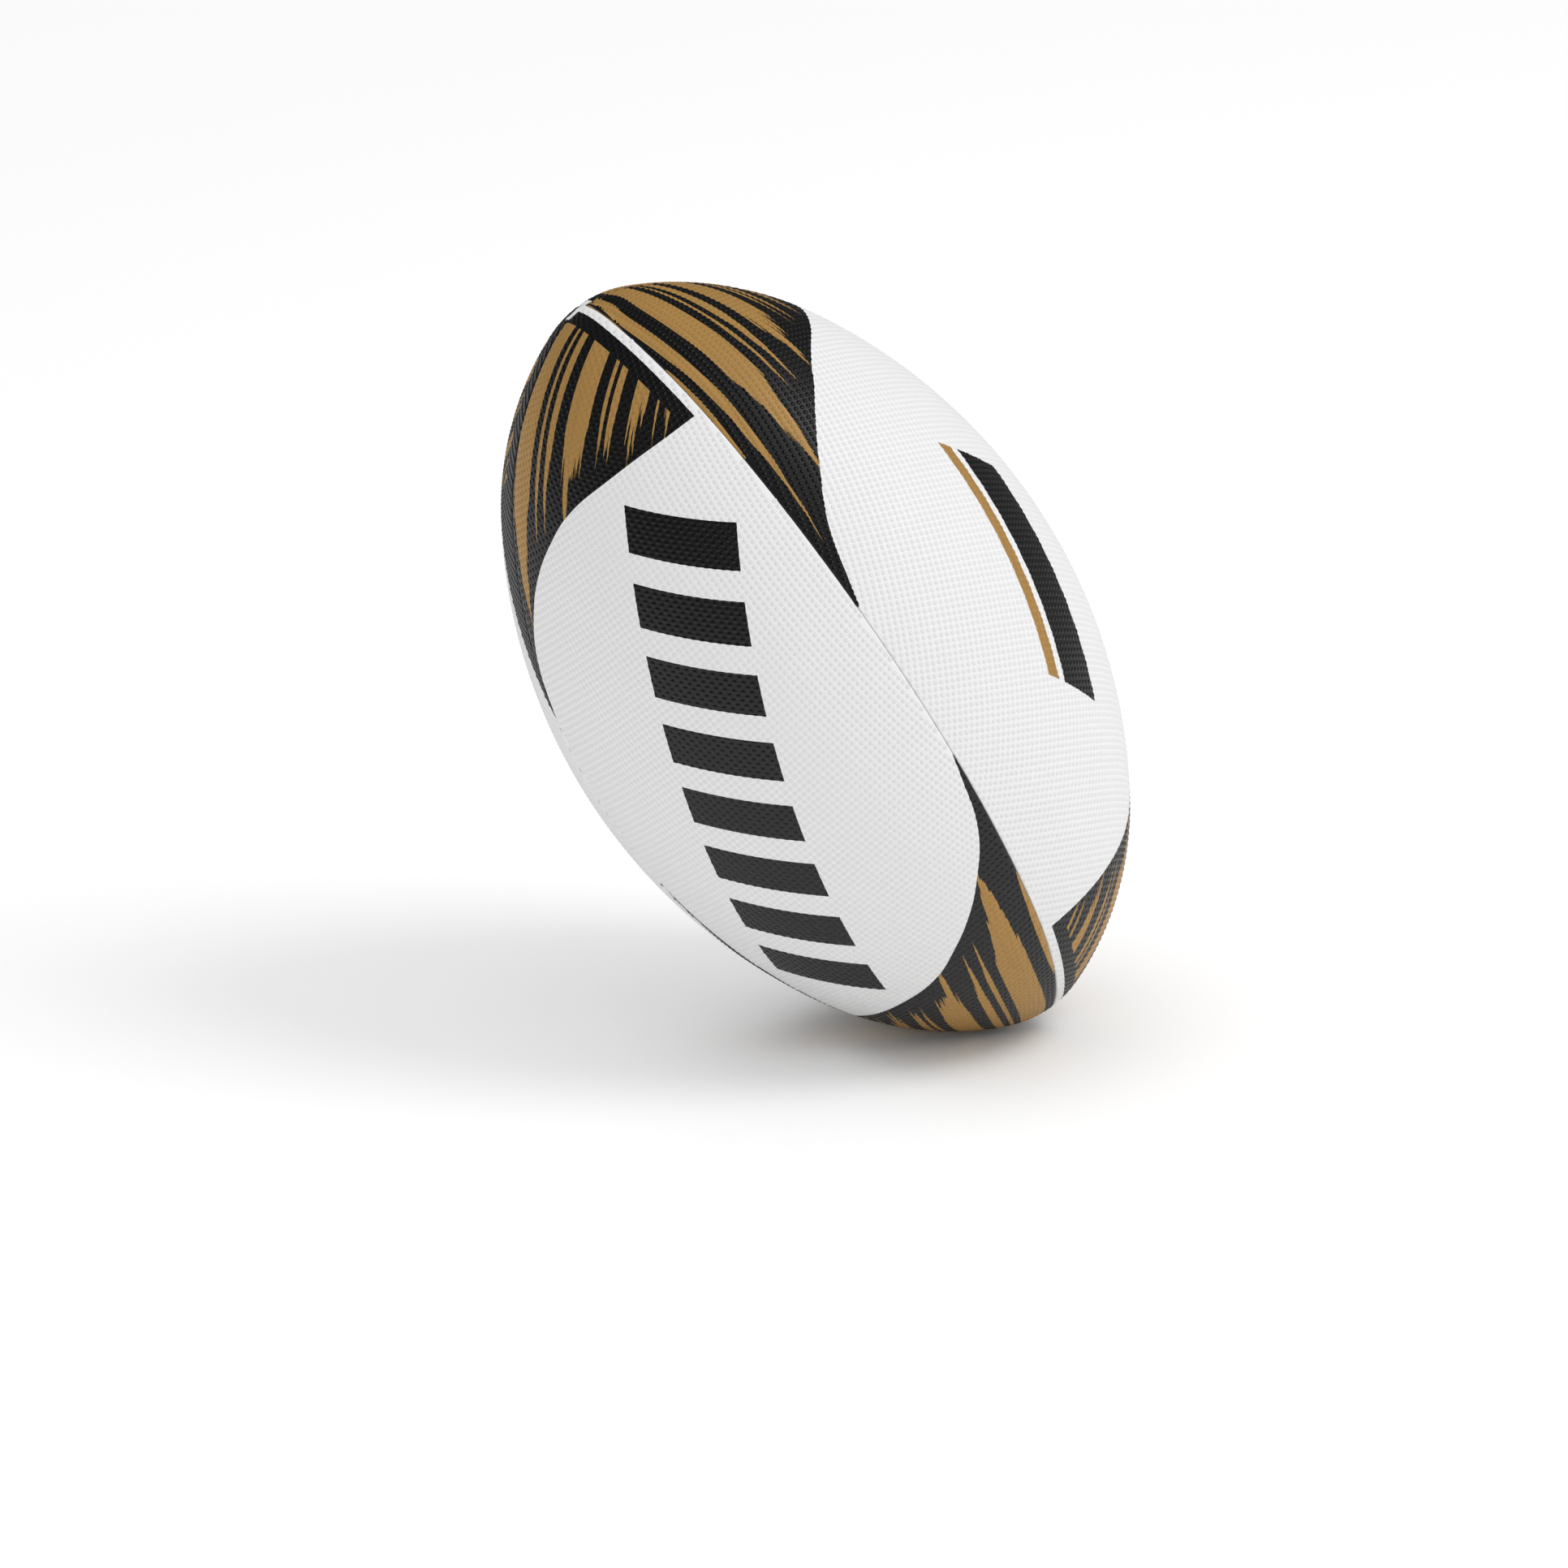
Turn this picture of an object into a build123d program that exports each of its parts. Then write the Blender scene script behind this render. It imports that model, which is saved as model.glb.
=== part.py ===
"""Rugby ball: four stitched rubber panels on fabric plies, over an inflated bladder with its valve.

The ball is drawn upright, with its long axis on +Z, its centre at the origin and its seams in the
XZ and YZ planes. Each finished piece is then turned about the long axis and leaned towards -X.
Depths are measured inwards from the outside of the cover. Millimetres and degrees.
"""
import os
from math import acos, cos, degrees, radians, sin

from build123d import *

# Outside shape: a belly arc, a shoulder arc and a nose arc, tangent to each other
LENGTH = 300.0
DIAMETER = 185.0
NOSE_RADIUS = 38.0
BELLY_ANGLE = 30.0  # slope of the outline where the belly arc meets the shoulder arc
SHOULDER_ANGLE = 63.0  # slope where the shoulder arc meets the nose arc

# Attitude: the ball leans as it does on a kicking tee
LEAN = 32.0  # long axis from the vertical
SEAM_TURN = 23.1  # first seam from +X, about the long axis

# Casing: a rubber face on fabric plies, with its edges turned inwards along the seams
PANELS = 4
COVER_THICKNESS = 1.2
PLY_NAMES = ("ply_outer", "ply_middle", "ply_inner")
PLY_THICKNESS = 0.4
FLANGE_DEPTH = 7.0
EDGE_ROUND = 0.8

# Saddle stitching through both turned edges of each seam
THREAD_RADIUS = 0.45
CROSSING_RADIUS = 0.4  # the thread is drawn thin where it crosses the seam
HOLE_CLEARANCE = 0.05
STITCH_PITCH = 6.5
STITCH_END = 10.0  # last stitch from the long axis

# Bladder, and the fabric patch that backs the casing round the valve
BLADDER_WALL = 0.6
BLADDER_CLEARANCE = 0.1
PATCH_RADIUS = 16.0
PATCH_THICKNESS = 0.6

# Valve body, bonded inside the bladder, with its nipple in the casing's hole
NIPPLE_RADIUS = 3.5
NIPPLE_CLEARANCE = 0.1
NIPPLE_RECESS = 0.4  # below the outside of the cover
BASE_RADIUS = 11.0
BASE_THICKNESS = 1.2
STEM_RADIUS = 5.5
STEM_LENGTH = 17.0

# Self-sealing plug, held in the valve body by a bead
PLUG_RADIUS = 2.3
PLUG_CLEARANCE = 0.02
BEAD_RADIUS = 3.2
BEAD_HEIGHT = 2.0
BEAD_RISE = 4.0  # middle of the bead above the plug's inner end
SEAL_THICKNESS = 3.0  # rubber beyond the end of the needle channel, which a needle parts
NEEDLE_RADIUS = 1.2
NEEDLE_LEAD = 0.6  # chamfer at the channel's mouth

CASING_THICKNESS = COVER_THICKNESS + len(PLY_NAMES) * PLY_THICKNESS
BLADDER_DEPTH = CASING_THICKNESS + BLADDER_CLEARANCE
BASE_DEPTH = BLADDER_DEPTH + PATCH_THICKNESS + BLADDER_WALL
STITCH_DEPTH = (CASING_THICKNESS + FLANGE_DEPTH) / 2
THREAD_OFFSET = CASING_THICKNESS + THREAD_RADIUS  # centre of a run of thread from the seam plane
PLUG_TOP = DIAMETER / 2 - NIPPLE_RECESS  # from the ball's long axis
PLUG_END = DIAMETER / 2 - BASE_DEPTH - BASE_THICKNESS - STEM_LENGTH
REACH = LENGTH + DIAMETER  # passes the ball in any direction

VALVE_SECTION = Plane(origin=(0, 0, 0), x_dir=(0, 0, 1), z_dir=(-1, 1, 0))
VALVE_AXIS = Axis((0, 0, 0), (1, 1, 0))
VALVE_PLANE = Plane(origin=(0, 0, 0), x_dir=(0, 0, 1), z_dir=(1, 1, 0))


def outline_radii():
    """Belly and shoulder radii with which the three arcs reach the ball's length and diameter."""
    rise, drop = sin(radians(BELLY_ANGLE)), 1 - cos(radians(BELLY_ANGLE))
    next_rise = sin(radians(SHOULDER_ANGLE)) - rise
    next_drop = 1 - cos(radians(SHOULDER_ANGLE)) - drop
    height = LENGTH / 2 - NOSE_RADIUS * (1 - rise - next_rise)
    width = DIAMETER / 2 - NOSE_RADIUS * (1 - drop - next_drop)
    spread = rise * next_drop - next_rise * drop
    return (height * next_drop - width * next_rise) / spread, (width * rise - height * drop) / spread


BELLY_RADIUS, SHOULDER_RADIUS = outline_radii()
BELLY_CENTRE = Vector(DIAMETER / 2 - BELLY_RADIUS, 0)
SHOULDER_CENTRE = BELLY_CENTRE + Vector(BELLY_RADIUS - SHOULDER_RADIUS, 0).rotate(Axis.Z, BELLY_ANGLE)
NOSE_HEIGHT = LENGTH / 2 - NOSE_RADIUS


def draw_outline(depth, end_angle=90.0):
    """Draw the outline at a depth, from nose to nose, in the open BuildLine."""
    for side in (-1, 1):
        centre = (SHOULDER_CENTRE.X, side * SHOULDER_CENTRE.Y)
        CenterArc(centre, SHOULDER_RADIUS - depth, side * BELLY_ANGLE, side * (SHOULDER_ANGLE - BELLY_ANGLE))
        centre = (0, side * NOSE_HEIGHT)
        CenterArc(centre, NOSE_RADIUS - depth, side * SHOULDER_ANGLE, side * (end_angle - SHOULDER_ANGLE))
    CenterArc((BELLY_CENTRE.X, 0), BELLY_RADIUS - depth, -BELLY_ANGLE, 2 * BELLY_ANGLE)


def ball(depth):
    """Solid of revolution inside the outline at a depth."""
    with BuildPart() as solid:
        with BuildSketch(Plane.XZ):
            with BuildLine():
                draw_outline(depth)
                Line((0, depth - LENGTH / 2), (0, LENGTH / 2 - depth))
            make_face()
        revolve(axis=Axis.Z)
    return solid.part


def quarter(depth, inset):
    """Quarter of the ball at a depth, with its flat faces inset from the seam planes."""
    with BuildPart() as solid:
        add(ball(depth))
        with Locations((inset, inset, 0)):
            Box(REACH, REACH, REACH, align=(Align.MIN, Align.MIN, Align.CENTER), mode=Mode.INTERSECT)
    return solid.part


def valve_rod(radius):
    """Rod on the valve's axis, from the middle of the ball to past its outside."""
    with BuildPart(VALVE_PLANE) as rod:
        Cylinder(radius, REACH, align=(Align.CENTER, Align.CENTER, Align.MIN))
    return rod.part


def curved_disc(radius, depth, thickness):
    """Disc on the valve's axis that follows the curve of the ball."""
    with BuildPart() as disc:
        add(ball(depth))
        add(ball(depth + thickness), mode=Mode.SUBTRACT)
        add(valve_rod(radius), mode=Mode.INTERSECT)
    return disc.part


def pierced(shape, radius):
    """The shape with a hole on the valve's axis."""
    with BuildPart() as result:
        add(shape)
        add(valve_rod(radius), mode=Mode.SUBTRACT)
    return result.part


def stitch_line(offset):
    """Line of one seam's stitches, offset from the seam plane."""
    end_angle = degrees(acos(STITCH_END / (NOSE_RADIUS - STITCH_DEPTH)))
    with BuildLine(Plane.XZ.offset(offset)) as line:
        draw_outline(STITCH_DEPTH, end_angle)
    return line.wire()


def crossings(radius, length):
    """Rods across one seam, one at each stitch."""
    line = stitch_line(0)
    count = round(line.length / STITCH_PITCH)
    with BuildPart() as rods:
        with Locations(*[line @ (step / count) for step in range(count + 1)]):
            Cylinder(radius, length, rotation=(90, 0, 0))
    return rods.part


def panel_layer(depth, thickness, edge_round=0.0):
    """One layer of a panel: a curved tray whose rims are turned in along both seams, with stitch holes."""
    holes = crossings(CROSSING_RADIUS + HOLE_CLEARANCE, 3 * CASING_THICKNESS)
    with BuildPart() as layer:
        add(quarter(depth, depth))
        if edge_round:
            flats = layer.faces().filter_by(GeomType.PLANE)
            fillet(flats.edges().filter_by(GeomType.LINE, reverse=True), edge_round)
        add(quarter(depth + thickness, depth + thickness), mode=Mode.SUBTRACT)
        add(ball(FLANGE_DEPTH), mode=Mode.SUBTRACT)
        add(holes, mode=Mode.SUBTRACT)
        add(holes, rotation=(0, 0, 360 / PANELS), mode=Mode.SUBTRACT)
    return layer.part


def seam_thread():
    """Thread of one seam: a run along each side of the turned edges, and the crossings between them."""
    with BuildPart() as thread:
        for side in (-1, 1):
            run = stitch_line(side * THREAD_OFFSET)
            with BuildSketch(Plane(run @ 0, z_dir=run % 0)):
                Circle(THREAD_RADIUS)
            sweep(path=run)
        add(crossings(CROSSING_RADIUS, 2 * THREAD_OFFSET))
    return thread.part


def bladder_space(inwards):
    """Solid inside the bladder's outer face, or inwards of it, grooved along the seams and under the patch."""
    groove = CASING_THICKNESS + 2 * THREAD_RADIUS + BLADDER_CLEARANCE
    lobe = quarter(BLADDER_DEPTH + inwards, groove + inwards)
    pocket_radius = PATCH_RADIUS + BLADDER_CLEARANCE + inwards
    pocket = curved_disc(pocket_radius, CASING_THICKNESS, BLADDER_CLEARANCE + PATCH_THICKNESS + inwards)
    with BuildPart() as space:
        add(ball(FLANGE_DEPTH + BLADDER_CLEARANCE + inwards))
        with PolarLocations(0, PANELS):
            add(lobe)
        add(pocket, mode=Mode.SUBTRACT)
    return space.part


def bladder():
    """Thin airtight bag with a hole for the valve's nipple."""
    with BuildPart() as bag:
        add(bladder_space(0))
        add(bladder_space(BLADDER_WALL), mode=Mode.SUBTRACT)
        add(valve_rod(NIPPLE_RADIUS), mode=Mode.SUBTRACT)
    return bag.part


def draw_plug(clearance):
    """Draw half of the plug's section, enlarged by a clearance, in the open BuildSketch."""
    with Locations((0, PLUG_END)):
        Rectangle(PLUG_RADIUS + clearance, PLUG_TOP - PLUG_END, align=Align.MIN)
    with Locations((0, PLUG_END + BEAD_RISE)):
        Rectangle(BEAD_RADIUS + clearance, BEAD_HEIGHT + 2 * clearance, align=(Align.MIN, Align.CENTER))


def valve_body():
    """Nipple, curved base and stem in one, hollow for the plug."""
    base = curved_disc(BASE_RADIUS, BASE_DEPTH, BASE_THICKNESS)
    stem_top = DIAMETER / 2 - BASE_DEPTH - BASE_THICKNESS / 2
    with BuildPart() as body:
        with BuildSketch(VALVE_SECTION):
            with Locations((0, PLUG_END)):
                Rectangle(STEM_RADIUS, stem_top - PLUG_END, align=Align.MIN)
                Rectangle(NIPPLE_RADIUS, PLUG_TOP - PLUG_END, align=Align.MIN)
        revolve(axis=VALVE_AXIS)
        add(base)
        with BuildSketch(VALVE_SECTION):
            draw_plug(PLUG_CLEARANCE)
        revolve(axis=VALVE_AXIS, mode=Mode.SUBTRACT)
    return body.part


def valve_plug():
    """Soft plug with its bead, and the blind channel that takes an inflating needle."""
    channel_depth = PLUG_TOP - PLUG_END - SEAL_THICKNESS
    top_centre = (Align.CENTER, Align.CENTER, Align.MAX)
    with BuildPart() as plug:
        with BuildSketch(VALVE_SECTION):
            draw_plug(0)
        revolve(axis=VALVE_AXIS)
        with Locations(VALVE_PLANE.offset(PLUG_TOP)):
            Cylinder(NEEDLE_RADIUS, channel_depth, align=top_centre, mode=Mode.SUBTRACT)
            Cone(NEEDLE_RADIUS, NEEDLE_RADIUS + NEEDLE_LEAD, NEEDLE_LEAD, align=top_centre, mode=Mode.SUBTRACT)
    return plug.part


def write_piece(name, shape, turn=0.0):
    """Turn a piece about the long axis, lean it and write it."""
    attitude = Location((0, 0, 0), (0, -LEAN, 0)) * Location((0, 0, 0), (0, 0, SEAM_TURN + turn))
    with BuildPart() as piece:
        with Locations(attitude):
            add(shape)
    piece.part.label = name
    export_step(piece.part, f"parts/{name}.step")


os.makedirs("parts", exist_ok=True)

layers = {"cover_panel": panel_layer(0, COVER_THICKNESS, EDGE_ROUND)}
for level, ply in enumerate(PLY_NAMES):
    layers[ply] = panel_layer(COVER_THICKNESS + level * PLY_THICKNESS, PLY_THICKNESS)
thread = seam_thread()

# The first panel, between +X and +Y before the turn, carries the valve
for number in range(1, PANELS + 1):
    turn = (number - 1) * 360 / PANELS
    for name, layer in layers.items():
        piece = pierced(layer, NIPPLE_RADIUS + NIPPLE_CLEARANCE) if number == 1 else layer
        write_piece(f"{name}_{number}", piece, turn)
    write_piece(f"seam_thread_{number}", thread, turn)

patch = curved_disc(PATCH_RADIUS, CASING_THICKNESS, PATCH_THICKNESS)
write_piece("valve_patch", pierced(patch, NIPPLE_RADIUS + NIPPLE_CLEARANCE))
write_piece("bladder", bladder())
write_piece("valve_body", valve_body())
write_piece("valve_plug", valve_plug())
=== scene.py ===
"""Rugby ball as a Blender add-on: four printed, pimpled rubber panels over fabric plies, sewn seams,
a bladder and its valve. Every size is in metres, in the same frame as the part."""
from math import asin, cos, pi, radians, sin, sqrt

import bpy
import bmesh
from mathutils import Matrix, Vector


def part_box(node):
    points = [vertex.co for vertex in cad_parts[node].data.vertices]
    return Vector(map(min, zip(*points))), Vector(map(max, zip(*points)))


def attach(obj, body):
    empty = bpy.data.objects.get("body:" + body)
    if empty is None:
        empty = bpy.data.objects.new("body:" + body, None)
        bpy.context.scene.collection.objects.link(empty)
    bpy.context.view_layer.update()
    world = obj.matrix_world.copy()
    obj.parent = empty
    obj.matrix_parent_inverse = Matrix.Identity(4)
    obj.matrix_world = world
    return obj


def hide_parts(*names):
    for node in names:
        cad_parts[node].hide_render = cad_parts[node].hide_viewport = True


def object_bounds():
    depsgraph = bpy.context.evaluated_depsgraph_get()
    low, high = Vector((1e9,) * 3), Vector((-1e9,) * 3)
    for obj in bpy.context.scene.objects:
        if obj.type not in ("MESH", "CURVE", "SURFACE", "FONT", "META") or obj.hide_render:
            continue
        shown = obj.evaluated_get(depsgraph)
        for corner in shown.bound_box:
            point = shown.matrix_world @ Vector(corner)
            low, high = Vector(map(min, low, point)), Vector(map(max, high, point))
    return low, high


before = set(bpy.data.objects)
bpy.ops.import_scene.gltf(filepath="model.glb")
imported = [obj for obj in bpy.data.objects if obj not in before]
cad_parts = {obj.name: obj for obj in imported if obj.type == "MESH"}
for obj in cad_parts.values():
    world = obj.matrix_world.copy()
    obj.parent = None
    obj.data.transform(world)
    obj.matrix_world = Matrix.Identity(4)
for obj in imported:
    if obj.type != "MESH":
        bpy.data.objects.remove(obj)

CAD_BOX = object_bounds()

bl_info = {
    "name": "Rugby Ball",
    "version": (1, 0, 0),
    "blender": (4, 5, 0),
    "location": "3D View > Sidebar > Rugby Ball",
    "description": "Builds a four-panel rugby ball with printed, pimpled covers",
    "category": "Add Mesh",
}

PANELS = 4
VALVE_PANEL = 1
MM = 0.001
COVER_NODES = [f"cover_panel_{k}" for k in range(1, PANELS + 1)]
PLY_NODES = [f"ply_{layer}_{k}" for layer in ("outer", "middle", "inner") for k in range(1, PANELS + 1)]
THREAD_NODES = [f"seam_thread_{k}" for k in range(1, PANELS + 1)]

MATH = "ShaderNodeMath"
VECTOR_MATH = "ShaderNodeVectorMath"
MAP_RANGE = "ShaderNodeMapRange"
MIX_A, MIX_B, MIX_OUT = 6, 7, 2  # colour sockets of a Mix node

PANEL_MIDDLE = Vector((1, 1, 0)).normalized()  # out through the middle of an upright panel
PATTERN_MARGIN = 1.02  # flat pattern against the panel's length
ROWS_MARGIN = 1.3  # rows of pimples against the pattern, so that they cover it when turned
SHARP_ANGLE = radians(50)  # a cover's faces that meet at more than this have a sharp edge
# In metres
MERGE_DISTANCE = 1e-6
TINY_EDGE = 1e-7
DRILL_LENGTH = 0.02
FIT = 2 * MM  # a cover's box may differ this much from the box of its place in the frame

# Near the ball's points a panel is narrow, so these shares of its radius there limit its edge
MOST_GAP = 0.02
MOST_ROUND = 0.35
MOST_REACH = 0.55  # how far from the seam the edge's inner side may reach
NARROW_RADIUS = 0.012  # radius in metres under which the turned edge loses depth


def linear(hex_colour):
    """sRGB hex colour as linear RGBA."""
    parts = [int(hex_colour[i:i + 2], 16) / 255 for i in (1, 3, 5)]
    return tuple(p / 12.92 if p <= 0.04045 else ((p + 0.055) / 1.055) ** 2.4 for p in parts) + (1.0,)


def darker(tint, share):
    """The same colour with a share of its light."""
    return tuple(share * c for c in tint[:3]) + (1.0,)


def add(tree, kind, inputs=(), **settings):
    """Add a node. Each input, by place or by name, takes a value, a socket or a node's first output."""
    node = tree.nodes.new(kind)
    for name, value in settings.items():
        setattr(node, name, value)
    for key, value in inputs.items() if isinstance(inputs, dict) else enumerate(inputs):
        if isinstance(value, bpy.types.Node):
            value = value.outputs[0]
        if isinstance(value, bpy.types.NodeSocket):
            tree.links.new(value, node.inputs[key])
        elif value is not None:
            node.inputs[key].default_value = value
    return node


def colour(name, text, default):
    return bpy.props.FloatVectorProperty(name=name, description=text, subtype="COLOR", size=4,
                                         min=0, max=1, default=linear(default))


def length(name, text, millimetres):
    return bpy.props.FloatProperty(name=name, description=text, unit="LENGTH", min=0,
                                   precision=4, default=millimetres * MM)


def angle(name, text, degrees):
    return bpy.props.FloatProperty(name=name, description=text, subtype="ANGLE",
                                   default=radians(degrees))


class BallShape(bpy.types.PropertyGroup):
    length: length("Length", "Ball from point to point", 300)
    diameter: length("Diameter", "Ball across its middle", 185)
    nose_radius: length("Nose Radius", "Curve of the outline at each point", 38)
    belly_angle: angle("Belly Angle", "Slope where the belly arc meets the shoulder arc", 30)
    shoulder_angle: angle("Shoulder Angle", "Slope where the shoulder arc meets the nose arc", 63)
    lean: angle("Lean", "Long axis from the vertical, towards -X", 32)
    seam_turn: angle("Seam Turn", "First seam from +X, about the long axis", 23.1)
    thickness: length("Cover Thickness", "Rubber of each panel", 1.2)
    flange: length("Turned Edge", "Depth of the edge turned in at the seams", 7)
    edge_round: length("Edge Round", "Rounding of a panel's edge at the seam", 0.8)
    seam_gap: length("Seam Gap", "From a panel's edge to the seam's middle", 0.02)
    valve_hole: length("Valve Hole", "Radius of the hole for the valve in the first panel", 3.6)


class PimpleSizes(bpy.types.PropertyGroup):
    pitch: length("Pitch", "From one pimple to the next", 2.25)
    radius: length("Radius", "Foot of a pimple", 1.02)
    height: length("Height", "Pimple above the cover", 0.24)
    sink: length("Sink", "Foot of a pimple below the cover's face", 0.05)
    row_turn: angle("Row Turn", "Rows of pimples across the first and third panels", 11.5)
    next_turn: angle("Next Row Turn", "Rows of pimples across the second and fourth panels", -28)
    margin: length("Margin", "Smooth strip between the pimples and the seam", 0.9)


class PrintInks(bpy.types.PropertyGroup):
    white: colour("White", "Bare white rubber of the panels", "#E4E4E4")
    black: colour("Black", "Black ink", "#040405")
    # painted sheen: the black between the pimples is painted lighter, where the lamps' shine would fall
    black_painted_sheen: colour("Black Painted Sheen", "Black ink, painted lighter between the pimples as painted sheen", "#101012")
    gold: colour("Gold", "Gold ink", "#A9803F")
    strip: length("White Strip", "Bare strip beside the seam at the ends", 3.5)
    border: length("Black Border", "Black edge round the gold strokes", 8.8)


class InnerColours(bpy.types.PropertyGroup):
    cotton: colour("Cotton", "Warp of the plies", "#D9D0BC")
    polyester: colour("Polyester", "Weft of the plies", "#EDE9DE")
    thread: colour("Thread", "Waxed seam thread", "#E6DFCB")
    butyl: colour("Butyl", "Bladder rubber", "#1A1A1B")
    valve: colour("Valve Rubber", "Moulded valve body", "#151516")
    plug: colour("Plug Rubber", "Soft plug that the needle parts", "#2A2928")


class StageSettings(bpy.types.PropertyGroup):
    floor: colour("Floor", "Plain pale floor", "#FDFDFD")
    elevation: angle("Camera Elevation", "Camera above the horizon", 18.3)
    frame_width: length("Frame Width", "What the camera takes in at the ball's centre", 542.5)
    right: length("Ball Right", "Ball's centre to the right of the frame's middle", 11.3)
    up: length("Ball Up", "Ball's centre above the frame's middle", 43.4)
    distance: length("Camera Distance", "Camera from the ball's centre", 4478)


def outline_radii(shape):
    """Belly and shoulder radii with which the three arcs reach the ball's length and diameter."""
    rise, drop = sin(shape.belly_angle), 1 - cos(shape.belly_angle)
    next_rise = sin(shape.shoulder_angle) - rise
    next_drop = 1 - cos(shape.shoulder_angle) - drop
    height = shape.length / 2 - shape.nose_radius * (1 - rise - next_rise)
    width = shape.diameter / 2 - shape.nose_radius * (1 - drop - next_drop)
    spread = rise * next_drop - next_rise * drop
    return (height * next_drop - width * next_rise) / spread, (width * rise - height * drop) / spread


def outline(shape, slope, depth=0.0):
    """Radius, height and length along the outline at a slope, at a depth under the cover's face."""
    belly, shoulder = outline_radii(shape)
    low, high, steep = shape.belly_angle, shape.shoulder_angle, abs(slope)
    side = -1 if slope < 0 else 1
    first, second = min(steep, low), min(max(steep, low), high)
    radius = shape.diameter / 2 - belly * (1 - cos(first))
    height, run = belly * sin(first), belly * first
    radius -= shoulder * (cos(low) - cos(second))
    height += shoulder * (sin(second) - sin(low))
    run += shoulder * (second - low)
    if steep > high:
        radius = shape.nose_radius * cos(steep)
        height = shape.length / 2 - shape.nose_radius * (1 - sin(steep))
        run += shape.nose_radius * (steep - high)
    return radius - depth * cos(steep), side * (height - depth * sin(steep)), side * run


def attitude(shape, panel):
    """Turns the upright ball's first quarter to a panel's place in the leaning ball."""
    turn = shape.seam_turn + (panel - 1) * 2 * pi / PANELS
    return Matrix.Rotation(-shape.lean, 4, "Y") @ Matrix.Rotation(turn, 4, "Z")


def cover_section(shape, slope, across=48, inner=12, corner=4, deep=3):
    """Closed loop of one panel at a slope: (point, is it on the face, its distance from the middle line).
    The counts are steps over the face, the back, the rounded edge and the turned edge."""
    face, level, _ = outline(shape, slope)
    gap = min(shape.seam_gap, MOST_GAP * face)
    bevel = min(shape.edge_round, MOST_ROUND * face)
    thick = shape.thickness
    foot = thick + (shape.flange - thick) * min(1.0, face / NARROW_RADIUS)

    def edge(offset, depth, mirrored):
        radius, height, _ = outline(shape, slope, depth)
        near = min(offset, MOST_REACH * max(radius, 0.0))
        far = sqrt(max(radius * radius - near * near, 0.0))
        return Vector((near, far, height)) if mirrored else Vector((far, near, height))

    loop = [(edge(gap, foot + (bevel - foot) * i / deep, False), False, 0.0) for i in range(deep)]
    for i in range(corner):
        a = pi / 2 * i / corner
        loop.append((edge(gap + bevel * (1 - cos(a)), bevel * (1 - sin(a)), False), False, 0.0))
    start = asin(min(1.0, (gap + bevel) / face)) if face > 1e-9 else pi / 8
    for i in range(across + 1):
        a = start + (pi / 2 - 2 * start) * i / across
        loop.append((Vector((face * cos(a), face * sin(a), level)), True, face * (a - pi / 4)))
    loop += [(Vector((p.y, p.x, p.z)), on, w) for p, on, w in reversed(loop[:deep + corner])]
    for i in range(deep + 1):
        loop.append((edge(thick, foot + (thick - foot) * i / deep, True), False, 0.0))
    radius, height, _ = outline(shape, slope, thick)
    near = asin(min(MOST_REACH, thick / radius)) if radius > 1e-9 else pi / 8
    for i in range(1, inner):
        a = pi / 2 - near - (pi / 2 - 2 * near) * i / inner
        loop.append((Vector((radius * cos(a), radius * sin(a), height)), False, 0.0))
    for i in range(deep + 1):
        loop.append((edge(thick, thick + (foot - thick) * i / deep, False), False, 0.0))
    return loop


def cover_mesh(shape, panel, steps=120):
    """One upright panel, swept from point to point, with a flat pattern of its face as UV."""
    span = 2 * outline(shape, pi / 2)[2] * PATTERN_MARGIN
    form = bmesh.new()
    pattern = form.loops.layers.uv.new("flat_pattern")
    grip = form.faces.layers.bool.new("gripped")
    rows = []
    for j in range(steps + 1):
        slope = pi * (j / steps - 0.5)
        run = outline(shape, slope)[2]
        rows.append([(form.verts.new(p), on, (w / span + 0.5, run / span + 0.5))
                     for p, on, w in cover_section(shape, slope)])
    count = len(rows[0])
    for low, high in zip(rows, rows[1:]):
        for i in range(count):
            n = (i + 1) % count
            corners = (low[i], low[n], high[n], high[i])
            quad = form.faces.new([c[0] for c in corners])
            quad.smooth = True
            quad[grip] = all(c[1] for c in corners)
            for loop, c in zip(quad.loops, corners):
                loop[pattern].uv = c[2] if quad[grip] else (-1.0, -1.0)
    bmesh.ops.remove_doubles(form, verts=form.verts, dist=MERGE_DISTANCE)
    bmesh.ops.dissolve_degenerate(form, edges=form.edges, dist=TINY_EDGE)
    bmesh.ops.recalc_face_normals(form, faces=form.faces)
    mesh = bpy.data.meshes.new(f"cover_{panel}_form")
    form.to_mesh(mesh)
    form.free()
    return mesh, span


def evaluated_mesh(obj, name):
    """Mesh of an object with its modifiers applied; the modifiers are then removed."""
    bpy.context.view_layer.update()
    graph = bpy.context.evaluated_depsgraph_get()
    mesh = bpy.data.meshes.new_from_object(obj.evaluated_get(graph), preserve_all_data_layers=True,
                                           depsgraph=graph)
    mesh.name = name
    obj.modifiers.clear()
    return mesh


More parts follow.
